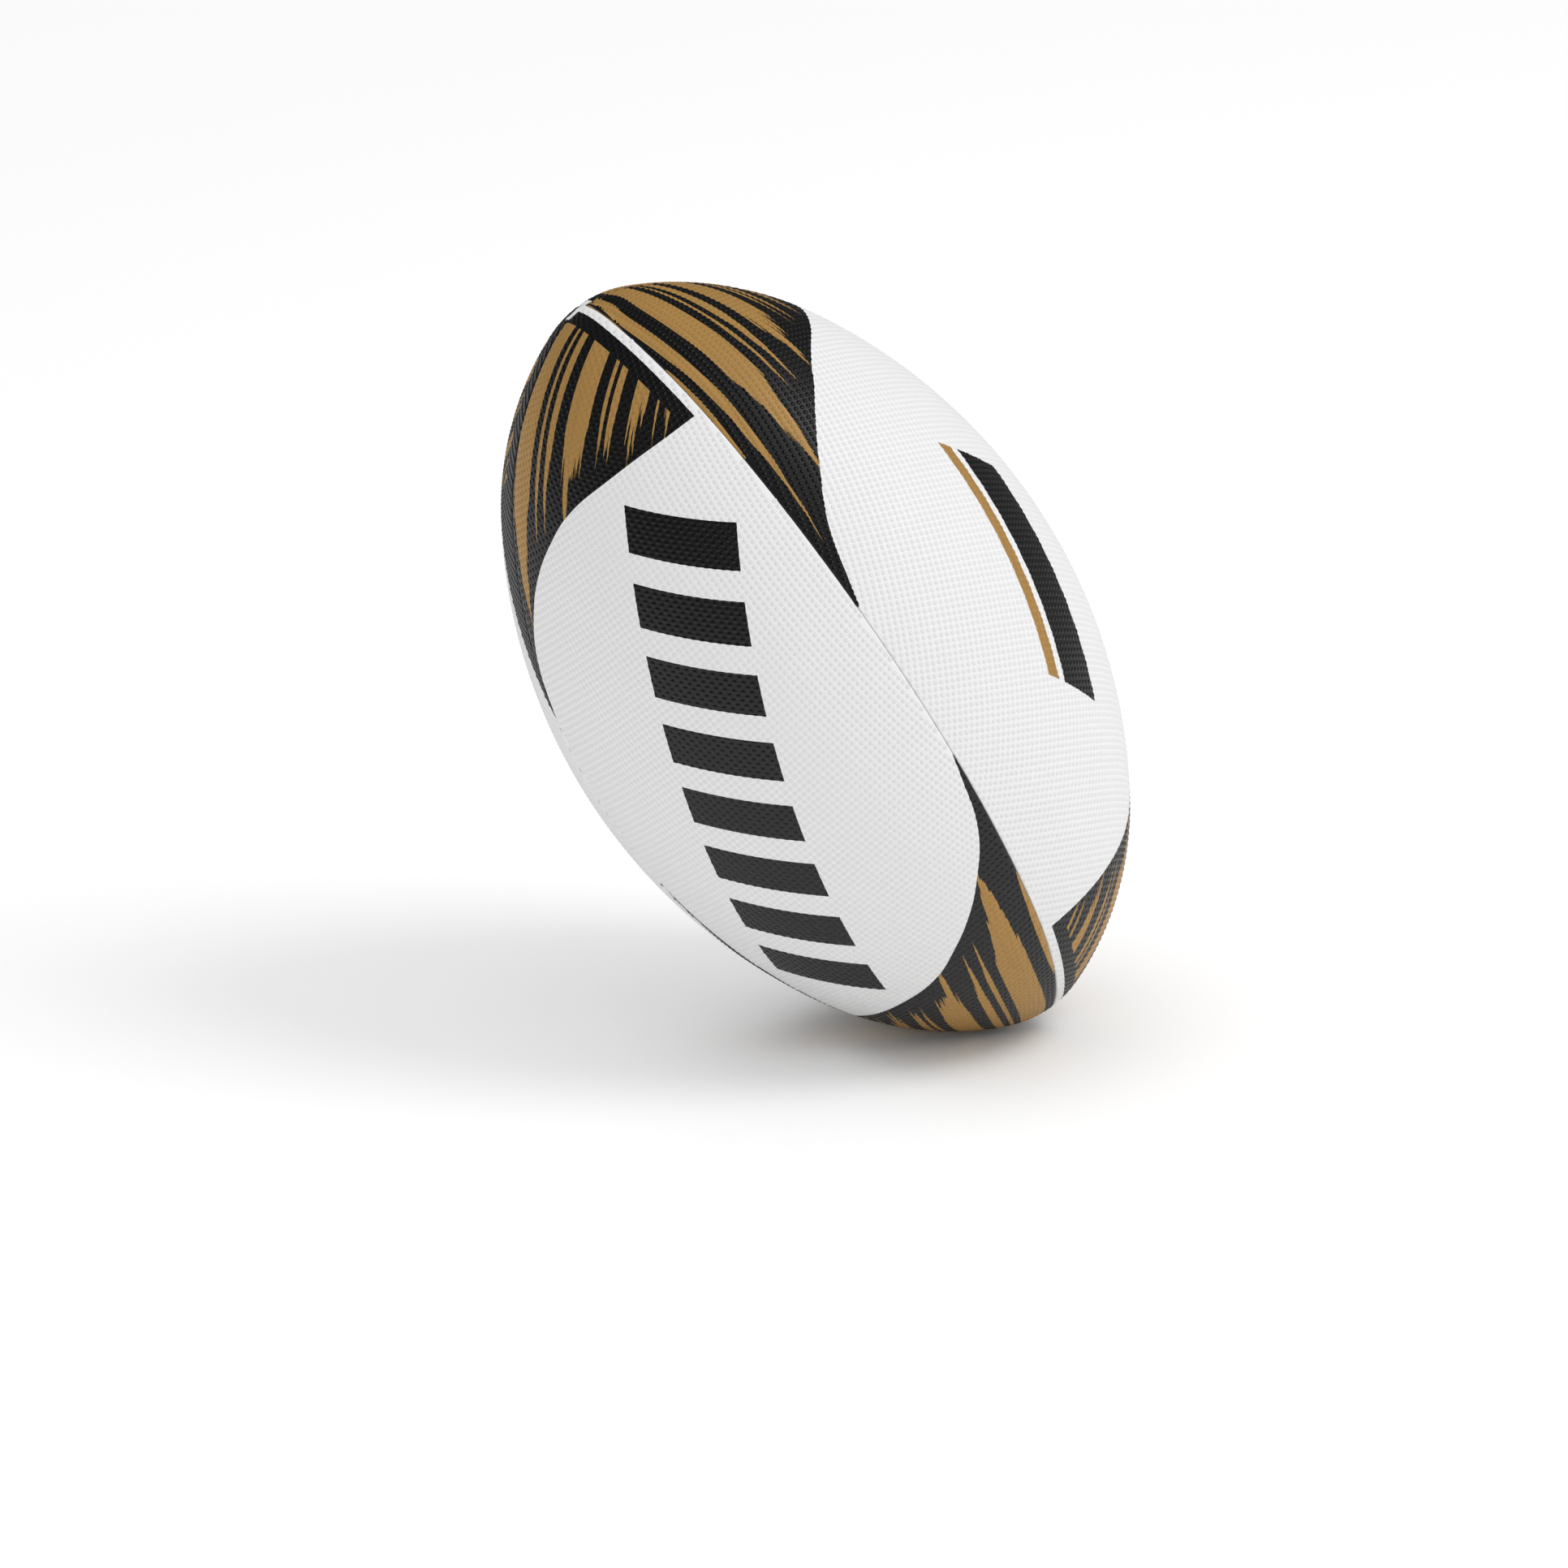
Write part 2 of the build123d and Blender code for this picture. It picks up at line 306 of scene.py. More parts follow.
def pierce(obj, radius, shape):
    """Cut the valve's round hole through a panel that still stands upright."""
    bpy.ops.mesh.primitive_cylinder_add(vertices=48, radius=radius, depth=DRILL_LENGTH)
    drill = bpy.context.object
    drill.data.transform(Matrix.Translation(PANEL_MIDDLE * shape.diameter / 2)
                         @ PANEL_MIDDLE.to_track_quat("Z", "Y").to_matrix().to_4x4())
    cut = obj.modifiers.new("Valve Hole", "BOOLEAN")
    cut.operation, cut.solver, cut.object = "DIFFERENCE", "EXACT", drill
    obj.data = evaluated_mesh(obj, obj.data.name)
    bpy.data.objects.remove(drill)
    form = bmesh.new()
    form.from_mesh(obj.data)
    bmesh.ops.remove_doubles(form, verts=form.verts, dist=MERGE_DISTANCE)
    bmesh.ops.dissolve_degenerate(form, edges=form.edges, dist=TINY_EDGE)
    form.to_mesh(obj.data)
    form.free()


def store_seam_distance(mesh, valve_hole):
    """Store each point's distance from the upright panel's seams, and from a valve hole in it."""
    gap = mesh.attributes.new("seam_distance", "FLOAT", "POINT")
    for v in mesh.vertices:
        distance = min(v.co.x, v.co.y)
        if valve_hole:
            from_axis = (v.co - PANEL_MIDDLE * v.co.dot(PANEL_MIDDLE)).length
            distance = min(distance, from_axis - valve_hole)
        gap.data[v.index].value = distance


def pimple_tree(material):
    """Rows of small domes over the face of a panel, joined to it."""
    tree = bpy.data.node_groups.new("Pimple Rows", "GeometryNodeTree")
    tree.interface.new_socket("Geometry", in_out="INPUT", socket_type="NodeSocketGeometry")
    for name in ("Pitch", "Radius", "Height", "Sink", "Row Turn", "Margin", "Pattern Span"):
        tree.interface.new_socket(name, in_out="INPUT", socket_type="NodeSocketFloat")
    tree.interface.new_socket("Geometry", in_out="OUTPUT", socket_type="NodeSocketGeometry")
    given = add(tree, "NodeGroupInput").outputs
    pitch, span = given["Pitch"], given["Pattern Span"]

    # The face of the panel, and its flat pattern to lay the rows on
    marked = add(tree, "GeometryNodeInputNamedAttribute", ("gripped",), data_type="BOOLEAN")
    face = add(tree, "GeometryNodeSeparateGeometry", (given["Geometry"], marked), domain="FACE")
    pattern = add(tree, "GeometryNodeInputNamedAttribute", ("flat_pattern",), data_type="FLOAT_VECTOR")

    # Square rows over the whole pattern, turned
    count = add(tree, MATH, (add(tree, MATH, (span, pitch), operation="DIVIDE"), ROWS_MARGIN),
                operation="MULTIPLY")
    side = add(tree, MATH, (count, pitch), operation="MULTIPLY")
    per_side = add(tree, MATH, (count, 1.0), operation="ADD")
    rows = add(tree, "GeometryNodeMeshGrid", {"Size X": side, "Size Y": side,
                                              "Vertices X": per_side, "Vertices Y": per_side})
    turn = add(tree, "ShaderNodeCombineXYZ", {"Z": given["Row Turn"]})
    rows = add(tree, "GeometryNodeTransform", {"Geometry": rows, "Rotation": turn})

    # Where each point of the rows lies on the panel
    place = add(tree, "GeometryNodeInputPosition")
    share = add(tree, VECTOR_MATH, {0: place, 3: add(tree, MATH, (1.0, span), operation="DIVIDE")},
                operation="SCALE")
    spot = add(tree, VECTOR_MATH, (share, (0.5, 0.5, 0.0)), operation="ADD")
    found = [add(tree, "GeometryNodeSampleUVSurface",
                 {"Mesh": face, "Value": add(tree, kind), "Source UV Map": pattern, "Sample UV": spot},
                 data_type="FLOAT_VECTOR")
             for kind in ("GeometryNodeInputPosition", "GeometryNodeInputNormal")]
    edge_gap = add(tree, "GeometryNodeInputNamedAttribute", ("seam_distance",), data_type="FLOAT")
    clear = add(tree, "GeometryNodeSampleUVSurface",
                {"Mesh": face, "Value": edge_gap, "Source UV Map": pattern, "Sample UV": spot},
                data_type="FLOAT")
    inside = add(tree, "FunctionNodeCompare", {"A": clear, "B": given["Margin"]},
                 data_type="FLOAT", operation="GREATER_THAN")
    keep = add(tree, "FunctionNodeBooleanMath", (found[0].outputs["Is Valid"], inside), operation="AND")
    upright = add(tree, "FunctionNodeAlignRotationToVector", {"Vector": found[1]}, axis="Z")

    # One dome: a six-sided cone, rounded to half a ball and then scaled
    dome = add(tree, "GeometryNodeMeshCone", {"Vertices": 6, "Side Segments": 2, "Radius Top": 0.0,
                                              "Radius Bottom": 1.0, "Depth": 1.0}, fill_type="NGON")
    parts = add(tree, "ShaderNodeSeparateXYZ", (place,))
    level = parts.outputs["Z"]
    taper = add(tree, MATH, (1.0, level), operation="SUBTRACT")
    ring = add(tree, MATH, (add(tree, MATH, (1.0, add(tree, MATH, (level, 2.0), operation="POWER")),
                                operation="SUBTRACT"), 0.5), operation="POWER")
    swell = add(tree, MATH, (ring, taper), operation="DIVIDE")
    wide = add(tree, "ShaderNodeCombineXYZ", (swell, swell, 1.0))
    dome = add(tree, "GeometryNodeStoreNamedAttribute",
               {"Geometry": dome, "Name": "pimple_rise", "Value": level},
               data_type="FLOAT", domain="POINT")
    rounded = add(tree, VECTOR_MATH, (place, wide), operation="MULTIPLY")
    dome = add(tree, "GeometryNodeSetPosition", {"Geometry": dome, "Position": rounded})
    tall = add(tree, MATH, (given["Height"], given["Sink"]), operation="ADD")
    size = add(tree, "ShaderNodeCombineXYZ", (given["Radius"], given["Radius"], tall))
    drop = add(tree, "ShaderNodeCombineXYZ",
               {"Z": add(tree, MATH, (given["Sink"], -1.0), operation="MULTIPLY")})
    dome = add(tree, "GeometryNodeTransform", {"Geometry": dome, "Scale": size, "Translation": drop})

    # The choice is stored before the points move, since it is read from their place in the rows
    held = add(tree, "GeometryNodeStoreNamedAttribute",
               {"Geometry": rows, "Name": "kept", "Value": keep}, data_type="BOOLEAN", domain="POINT")
    held = add(tree, "GeometryNodeStoreNamedAttribute",
               {"Geometry": held, "Name": "stand", "Value": upright},
               data_type="QUATERNION", domain="POINT")
    points = add(tree, "GeometryNodeSetPosition", {"Geometry": held, "Position": found[0]})
    kept = add(tree, "GeometryNodeInputNamedAttribute", ("kept",), data_type="BOOLEAN")
    stand = add(tree, "GeometryNodeInputNamedAttribute", ("stand",), data_type="QUATERNION")
    domes = add(tree, "GeometryNodeInstanceOnPoints",
                {"Points": points, "Selection": kept, "Instance": dome, "Rotation": stand})
    whole = add(tree, "GeometryNodeJoinGeometry", (domes,))
    tree.links.new(given["Geometry"], whole.inputs[0])
    real = add(tree, "GeometryNodeRealizeInstances", (whole,))
    smooth = add(tree, "GeometryNodeSetShadeSmooth", {"Geometry": real, "Shade Smooth": True})
    done = add(tree, "GeometryNodeSetMaterial", {"Geometry": smooth, "Material": material})
    add(tree, "NodeGroupOutput", (done,))
    return tree


def new_material(name):
    """Empty material with its shader, joined to the output."""
    material = bpy.data.materials.new(name)
    material.use_nodes = True
    tree = material.node_tree
    tree.nodes.clear()
    shader = add(tree, "ShaderNodeBsdfPrincipled")
    add(tree, "ShaderNodeOutputMaterial", (shader,))
    return material, tree, shader


# The print is in millimetres, on a panel that stands upright.

# Gold brush strokes: middle line, half width, where it ends, length of its taper.
# A middle line is how far round the panel the stroke lies, an end is how far it is from the point.
STROKES = (
    (-29.0, 0.8, 88, 60), (-24.4, 1.1, 98, 80), (-19.6, 1.5, 92, 70), (-8.4, 4.8, 80, 42),
    (0.6, 0.9, 54, 20), (5.4, 1.9, 52, 26), (17.8, 5.1, 38, 9), (15.6, 1.8, 50, 20),
    (28.8, 0.9, 40, 14), (33.0, 1.2, 40, 14), (43.6, 3.2, 35, 6), (41.8, 1.2, 41, 10),
    (51.4, 0.9, 38, 6), (55.5, 0.8, 38.5, 5),
)
# A stroke runs where its way round + SWEEP * sqrt(from the point) - SWEEP_BACK stays the same
SWEEP, SWEEP_BACK = 6.2, 12.0
WANDER = 2.6  # how far a line wanders
RAGGED = 34.0  # how far apart the hairs of a stroke end
HAIR_RUN = 0.035  # how the hairs change along a stroke, against across it

# How far the print was laid round each panel, and below its place, at its upper and its lower end
PRINT_CREEP = {1: ((1, 0), (0, 0)), 2: ((0, 0), (1, 0)), 3: ((0, 0), (5, 0)), 4: ((10.5, 3), (0, 0))}
CREEP_FROM, CREEP_FULL = 30.0, 95.0  # heights where the black edge starts to creep, and has crept

# Edge of the black ends: how far round the panel, and how far up it from the middle
BLACK_EDGE = ((-66, 4), (-64.2, 24), (-62, 40), (-57, 60), (-47, 76.5), (-37, 87.5), (-25, 96.5),
              (-14, 102.5), (6, 107.3), (40, 110.5))
EDGE_TOP = 120.0  # height at the top of the curve's chart
# The panel whose upper black end runs down its far seam as well, beside the next panel's
FLAME_PANEL = 2
FLAME_FOOT, FLAME_SLOPE, FLAME_TOP = 38.0, 3.0, 149.2  # lowest point, rise per mm from the seam, highest

# A plain row of slanted bars on two panels, and one broad and one narrow bar on the other two
MARK_TILT = radians(16.6)  # from the panel's long side
ROW_SLANT, ROW_PITCH, ROW_SHARE, ROW_HALF_WIDTH, ROW_HALF_LENGTH = 0.32, 24.0, 0.3, 19.0, 96.0
PAIR_SLANT, PAIR_HALF_LENGTH = 0.6, 44.0
BROAD_BAR, NARROW_BAR = (6.0, 9.0), (-8.5, 2.5)  # middle line and half width

# Share of a colour that its darkest patches keep; at the pimples' tops this is painted shade
WHITE_PATCH, GOLD_PATCH, PIMPLE_TOP_PAINTED_SHADE = 0.98, 0.86, 0.9


def black_ends(tree, high, round_it, seam, fall, strip):
    """Black beyond its curved edge, with a bare strip beside the seam."""
    low_x, high_x = BLACK_EDGE[0][0], BLACK_EDGE[-1][0]
    along = add(tree, MAP_RANGE, {"Value": round_it, "From Min": low_x, "From Max": high_x})
    edge = add(tree, "ShaderNodeFloatCurve", {"Value": along})
    curve = edge.mapping.curves[0]
    for i, (x, z) in enumerate(BLACK_EDGE):
        spot = ((x - low_x) / (high_x - low_x), z / EDGE_TOP)
        if i in (0, len(BLACK_EDGE) - 1):
            curve.points[0 if i == 0 else -1].location = spot
        else:
            curve.points.new(*spot)
    edge.mapping.update()
    height = add(tree, MATH, (add(tree, MATH, (edge, EDGE_TOP), operation="MULTIPLY"), fall),
                 operation="SUBTRACT")
    return add(tree, MATH, (add(tree, MATH, (high, height), operation="GREATER_THAN"),
                            add(tree, MATH, (seam, strip), operation="GREATER_THAN")),
               operation="MULTIPLY")


def gold_strokes(tree, tip, laid, panel):
    """Gold brush strokes, swept round from the point, and the pattern of their hairs."""
    root = add(tree, MATH, (add(tree, MATH, (tip, 0.0), operation="MAXIMUM"),), operation="SQRT")
    sweep = add(tree, MATH, (root, SWEEP, add(tree, MATH, (laid, SWEEP_BACK), operation="SUBTRACT")),
                operation="MULTIPLY_ADD")
    along = add(tree, MATH, (tip, HAIR_RUN), operation="MULTIPLY")
    brush = add(tree, "ShaderNodeCombineXYZ", (sweep, along, float(panel)))
    hairs = add(tree, "ShaderNodeTexNoise", {"Vector": brush, "Scale": 1.1, "Detail": 3.0,
                                             "Roughness": 0.6})
    wander = add(tree, "ShaderNodeTexNoise", {"Vector": brush, "Scale": 0.35, "Detail": 1.0})
    line = add(tree, MATH, (add(tree, MATH, (wander, 0.5), operation="SUBTRACT"), WANDER, sweep),
               operation="MULTIPLY_ADD")
    ragged = add(tree, MATH, (add(tree, MATH, (hairs, 0.5), operation="SUBTRACT"), RAGGED, tip),
                 operation="MULTIPLY_ADD")
    gold = 0.0
    for middle, half_width, stop, taper in STROKES:
        width = add(tree, MAP_RANGE, {"Value": ragged, "From Min": stop, "From Max": stop - taper,
                                      "To Max": half_width})
        stroke = add(tree, MATH, (line, middle, width), operation="COMPARE")
        gold = add(tree, MATH, (gold, stroke), operation="MAXIMUM")
    return gold, hairs


def plain_marks(tree, across, up, panel):
    """The panel's black mark and its gold mark."""
    lay = add(tree, "ShaderNodeCombineXYZ", (across, up))
    lay = add(tree, "ShaderNodeMapping", {"Vector": lay, "Rotation": (0, 0, MARK_TILT)})
    side, down, _ = add(tree, "ShaderNodeSeparateXYZ", (lay,)).outputs
    if panel % 2:
        slant = add(tree, MATH, (side, ROW_SLANT, down), operation="MULTIPLY_ADD")
        step = add(tree, MATH, (add(tree, MATH, (slant, ROW_PITCH), operation="DIVIDE"),),
                   operation="FRACT")
        bar = add(tree, MATH, (step, 0.5, ROW_SHARE), operation="COMPARE")
        beside = add(tree, MATH, (side, 0.0, ROW_HALF_WIDTH), operation="COMPARE")
        within = add(tree, MATH, (slant, 0.0, ROW_HALF_LENGTH), operation="COMPARE")
        bar = add(tree, MATH, (bar, beside), operation="MULTIPLY")
        return add(tree, MATH, (bar, within), operation="MULTIPLY"), None
    slant = add(tree, MATH, (side, PAIR_SLANT, down), operation="MULTIPLY_ADD")
    within = add(tree, MATH, (slant, 0.0, PAIR_HALF_LENGTH), operation="COMPARE")
    return [add(tree, MATH, (add(tree, MATH, (side, *bar), operation="COMPARE"), within),
                operation="MULTIPLY") for bar in (BROAD_BAR, NARROW_BAR)]


def cover_material(shape, inks, panel):
    """Natural rubber, pressed in a mould with a pimpled face, then screen printed.
    The rubber is matt with a slight sheen; ink is a little smoother. Between the pimples the black is
    painted lighter, a painted sheen, and the pimples' tops are painted darker, a painted shade."""
    material, tree, shader = new_material(f"moulded_rubber_screen_printed_{panel}")
    turn = shape.seam_turn + (panel - 0.5) * 2 * pi / PANELS
    here = add(tree, "ShaderNodeTexCoord").outputs["Object"]
    # millimetres on the upright panel: X out through its middle, Y round it, Z up it
    flat = add(tree, "ShaderNodeMapping", {"Vector": here, "Rotation": (0, shape.lean, -turn),
                                           "Scale": (1 / MM, 1 / MM, 1 / MM)})
    out, across, up = add(tree, "ShaderNodeSeparateXYZ", (flat,)).outputs

    # The print is the same at both ends, turned half round
    end = add(tree, MATH, (up,), operation="SIGN")
    high = add(tree, MATH, (up,), operation="ABSOLUTE")
    tip = add(tree, MATH, (shape.length / 2 / MM, high), operation="SUBTRACT")
    swing = add(tree, MAP_RANGE, {"Value": high, "From Min": CREEP_FROM, "From Max": CREEP_FULL})
    creep, drop = [add(tree, MATH, (end, (upper - lower) / 2, (upper + lower) / 2),
                       operation="MULTIPLY_ADD") for upper, lower in zip(*PRINT_CREEP[panel])]
    turned = add(tree, MATH, (across, end), operation="MULTIPLY")
    laid = add(tree, MATH, (turned, creep), operation="SUBTRACT")
    round_it = add(tree, MATH, (turned, add(tree, MATH, (creep, swing), operation="MULTIPLY")),
                   operation="SUBTRACT")
    fall = add(tree, MATH, (drop, swing), operation="MULTIPLY")
    seam = add(tree, MATH, (add(tree, MATH, (out, round_it), operation="SUBTRACT"), sqrt(0.5)),
               operation="MULTIPLY")

    black = black_ends(tree, high, round_it, seam, fall, inks.strip / MM)
    if panel == FLAME_PANEL:
        flame = add(tree, MATH, (seam, FLAME_SLOPE, FLAME_FOOT), operation="MULTIPLY_ADD")
        flame = add(tree, MATH, (add(tree, MATH, (up, flame), operation="GREATER_THAN"),
                                 add(tree, MATH, (up, FLAME_TOP), operation="LESS_THAN")),
                    operation="MULTIPLY")
        black = add(tree, MATH, (black, flame), operation="MAXIMUM")
    gold, hairs = gold_strokes(tree, tip, laid, panel)
    within = add(tree, MATH, (seam, inks.border / MM), operation="GREATER_THAN")
    gold = add(tree, MATH, (gold, within), operation="MULTIPLY")
    black_mark, gold_mark = plain_marks(tree, across, up, panel)
    bare = add(tree, MATH, (1.0, black), operation="SUBTRACT")
    ink = add(tree, MATH, (black_mark, bare, black), operation="MULTIPLY_ADD")
    gilt = add(tree, MATH, (gold, black), operation="MULTIPLY")
    if gold_mark:
        gilt = add(tree, MATH, (gilt, gold_mark), operation="MAXIMUM")

    # Black is painted lighter between the pimples, a painted sheen; the bare rubber is faintly uneven
    rise = add(tree, "ShaderNodeAttribute", attribute_name="pimple_rise")
    # this mask runs from between the pimples up to their tops: painted sheen on the black between them,
    # painted shade on the tops
    thick = add(tree, MAP_RANGE, {"Value": rise.outputs["Fac"], "From Min": 0.05, "From Max": 0.6})
    black_with_painted_sheen = add(tree, "ShaderNodeMix", {"Factor": thick, MIX_A: inks.black_painted_sheen, MIX_B: inks.black},
                data_type="RGBA")
    cloudy = add(tree, "ShaderNodeTexNoise", {"Vector": here, "Scale": 60.0, "Detail": 3.0})
    milky = add(tree, "ShaderNodeMix", {"Factor": cloudy, MIX_A: inks.white,
                                        MIX_B: darker(inks.white, WHITE_PATCH)}, data_type="RGBA")
    dry = add(tree, MAP_RANGE, {"Value": hairs, "From Min": 0.35, "From Max": 0.65})
    gilded = add(tree, "ShaderNodeMix", {"Factor": dry, MIX_A: inks.gold,
                                         MIX_B: darker(inks.gold, GOLD_PATCH)}, data_type="RGBA")
    tint = add(tree, "ShaderNodeMix", {"Factor": ink, MIX_A: milky.outputs[MIX_OUT],
                                       MIX_B: black_with_painted_sheen.outputs[MIX_OUT]}, data_type="RGBA")
    tint = add(tree, "ShaderNodeMix", {"Factor": gilt, MIX_A: tint.outputs[MIX_OUT],
                                       MIX_B: gilded.outputs[MIX_OUT]}, data_type="RGBA")
    # painted shade: the tops of the pimples are painted a little darker
    tint = add(tree, "ShaderNodeMix", {"Factor": thick, MIX_A: tint.outputs[MIX_OUT],
                                       MIX_B: (PIMPLE_TOP_PAINTED_SHADE, PIMPLE_TOP_PAINTED_SHADE, PIMPLE_TOP_PAINTED_SHADE, 1)},
               data_type="RGBA", blend_type="MULTIPLY")
    gloss = add(tree, MAP_RANGE, {"Value": ink, "To Min": 0.56, "To Max": 0.44})
    # moulded grain of 0.35 mm, the finest that shows
    grain = add(tree, "ShaderNodeTexNoise", {"Vector": here, "Scale": 2800.0, "Detail": 2.0})
    bump = add(tree, "ShaderNodeBump", {"Strength": 0.12, "Distance": 0.0001, "Height": grain})
    tree.links.new(tint.outputs[MIX_OUT], shader.inputs["Base Color"])
    tree.links.new(gloss.outputs[0], shader.inputs["Roughness"])
    tree.links.new(bump.outputs[0], shader.inputs["Normal"])
    shader.inputs["IOR"].default_value = 1.5
    shader.inputs["Specular IOR Level"].default_value = 0.42
    return material


WEAVE_SCALE = 260.0  # threads of 0.6 mm
TWIST_SCALE = 600.0  # strands of 0.26 mm across the thread


def woven_material(name, warp, weft, scale):
    """Poly-cotton, plain woven: its threads pass over and under one another, matt and fuzzy."""
    material, tree, shader = new_material(name)
    here = add(tree, "ShaderNodeTexCoord").outputs["Object"]
    waves = [add(tree, "ShaderNodeTexWave", {"Vector": here, "Scale": scale, "Distortion": 0.6,
                                             "Detail": 1.0}, bands_direction=axis) for axis in ("X", "Z")]
    over = add(tree, MATH, (waves[0].outputs["Fac"], waves[1].outputs["Fac"]), operation="MULTIPLY")
    tint = add(tree, "ShaderNodeMix", {"Factor": waves[0].outputs["Fac"], MIX_A: warp, MIX_B: weft},
               data_type="RGBA")
    bump = add(tree, "ShaderNodeBump", {"Strength": 0.6, "Distance": 0.0002, "Height": over})
    tree.links.new(tint.outputs[MIX_OUT], shader.inputs["Base Color"])
    tree.links.new(bump.outputs[0], shader.inputs["Normal"])
    shader.inputs["Roughness"].default_value = 0.9
    shader.inputs["Sheen Weight"].default_value = 0.3
    return material


def twisted_material(name, tint):
    """Polyester thread, twisted and waxed: fine slanting strands with a soft wax shine."""
    material, tree, shader = new_material(name)
    here = add(tree, "ShaderNodeTexCoord").outputs["Object"]
    strands = add(tree, "ShaderNodeTexWave", {"Vector": here, "Scale": TWIST_SCALE, "Distortion": 1.0},
                  bands_direction="DIAGONAL")
    mixed = add(tree, "ShaderNodeMix", {"Factor": strands.outputs["Fac"], MIX_A: darker(tint, 0.7),
                                        MIX_B: tint}, data_type="RGBA")
    bump = add(tree, "ShaderNodeBump", {"Strength": 0.5, "Distance": 0.0001,
                                        "Height": strands.outputs["Fac"]})
    tree.links.new(mixed.outputs[MIX_OUT], shader.inputs["Base Color"])
    tree.links.new(bump.outputs[0], shader.inputs["Normal"])
    shader.inputs["Roughness"].default_value = 0.45
    return material


MOULD_POWDER = "#8C8A86"


def rubber_material(name, tint, rough, grain_mm, dusty):
    """Moulded rubber: a fine grain from the mould, and a dusting of mould powder where it is dusty."""
    material, tree, shader = new_material(name)
    here = add(tree, "ShaderNodeTexCoord").outputs["Object"]
    cloud = add(tree, "ShaderNodeTexNoise", {"Vector": here, "Scale": 90.0, "Detail": 4.0})
    powder = add(tree, MAP_RANGE, {"Value": cloud, "From Min": 0.45, "From Max": 0.75,
                                   "To Min": 0.0, "To Max": dusty})
    mixed = add(tree, "ShaderNodeMix", {"Factor": powder, MIX_A: tint, MIX_B: linear(MOULD_POWDER)},
                data_type="RGBA")
    grain = add(tree, "ShaderNodeTexNoise", {"Vector": here, "Scale": 1 / (grain_mm * MM), "Detail": 2.0})
    bump = add(tree, "ShaderNodeBump", {"Strength": 0.2, "Distance": 0.0001, "Height": grain})
    shine = add(tree, MAP_RANGE, {"Value": cloud, "To Min": rough - 0.06, "To Max": rough + 0.08})
    tree.links.new(mixed.outputs[MIX_OUT], shader.inputs["Base Color"])
    tree.links.new(shine.outputs[0], shader.inputs["Roughness"])
    tree.links.new(bump.outputs[0], shader.inputs["Normal"])
    return material


def dress(nodes, material):
    """Give a material to CAD nodes that stay in view."""
    for name in nodes:
        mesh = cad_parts[name].data
        mesh.materials.clear()
        mesh.materials.append(material)


class BALL_OT_covers(bpy.types.Operator):
    """Build the four printed panels, with their turned edges and pimples."""
    bl_idname = "ball.covers"
    bl_label = "Cover Panels"

    def execute(self, context):
        scene = context.scene
        shape, pimples, inks = scene.ball_shape, scene.ball_pimples, scene.ball_inks
        for panel, node in enumerate(COVER_NODES, 1):
            mesh, span = cover_mesh(shape, panel)
            cover = bpy.data.objects.new(f"printed_cover_{panel}", mesh)
            scene.collection.objects.link(cover)
            valve_hole = shape.valve_hole if panel == VALVE_PANEL else 0.0
            if valve_hole:
                pierce(cover, valve_hole, shape)
            store_seam_distance(cover.data, valve_hole)
            cover.data.transform(attitude(shape, panel))
            material = cover_material(shape, inks, panel)
            rows = cover.modifiers.new("Pimples", "NODES")
            rows.node_group = pimple_tree(material)
            sizes = {"Pitch": pimples.pitch, "Radius": pimples.radius, "Height": pimples.height,
                     "Sink": pimples.sink, "Margin": pimples.margin, "Pattern Span": span,
                     "Row Turn": pimples.row_turn if panel % 2 else pimples.next_turn}
            for item in rows.node_group.interface.items_tree:
                if item.item_type == "SOCKET" and item.name in sizes:
                    rows[item.identifier] = sizes[item.name]
            cover.data = evaluated_mesh(cover, f"printed_cover_{panel}")
            cover.data.set_sharp_from_angle(angle=SHARP_ANGLE)
            low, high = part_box(node)
            made = [sorted(values) for values in zip(*cover.bound_box)]
            if any(abs(made[i][0] - low[i]) > FIT or abs(made[i][-1] - high[i]) > FIT for i in range(3)):
                raise RuntimeError(f"cover {panel} doesn't fit its place in the frame")
            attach(cover, "root")
            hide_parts(node)
        return {"FINISHED"}


class BALL_OT_casing(bpy.types.Operator):
    """Dress the fabric plies, the valve patch and the seam threads."""
    bl_idname = "ball.casing"
    bl_label = "Plies and Threads"

    def execute(self, context):
        tints = context.scene.ball_inner
        weave = woven_material("poly_cotton_plain_woven", tints.cotton, tints.polyester, WEAVE_SCALE)
        dress(PLY_NODES + ["valve_patch"], weave)
        dress(THREAD_NODES, twisted_material("polyester_thread_waxed", tints.thread))
        return {"FINISHED"}


class BALL_OT_bladder(bpy.types.Operator):
    """Dress the bladder, the valve body and its plug."""
    bl_idname = "ball.bladder"
    bl_label = "Bladder and Valve"

    def execute(self, context):
        tints = context.scene.ball_inner
        for node, name, tint, rough, grain_mm, dusty in (
                ("bladder", "butyl_rubber_dip_moulded", tints.butyl, 0.5, 0.5, 0.5),
                ("valve_body", "butyl_rubber_compression_moulded", tints.valve, 0.42, 0.3, 0.1),
                ("valve_plug", "soft_rubber_compression_moulded", tints.plug, 0.36, 0.25, 0.05)):
            dress([node], rubber_material(name, tint, rough, grain_mm, dusty))
        return {"FINISHED"}


FLOOR_REACH = 15.0  # metres from the ball to the floor's edges
# Two round lamps aimed at the ball: name, place and width in metres, power in watts
LAMPS = (("key", (1.3, -0.35, 2.0), 1.1, 15.5), ("side", (1.9, -0.5, 1.2), 1.6, 4.0))
ROOM_LIGHT, ROOM_LIGHT_IN_GLOSS = 0.9, 0.1
SENSOR_WIDTH = 36.0  # of the camera, in mm


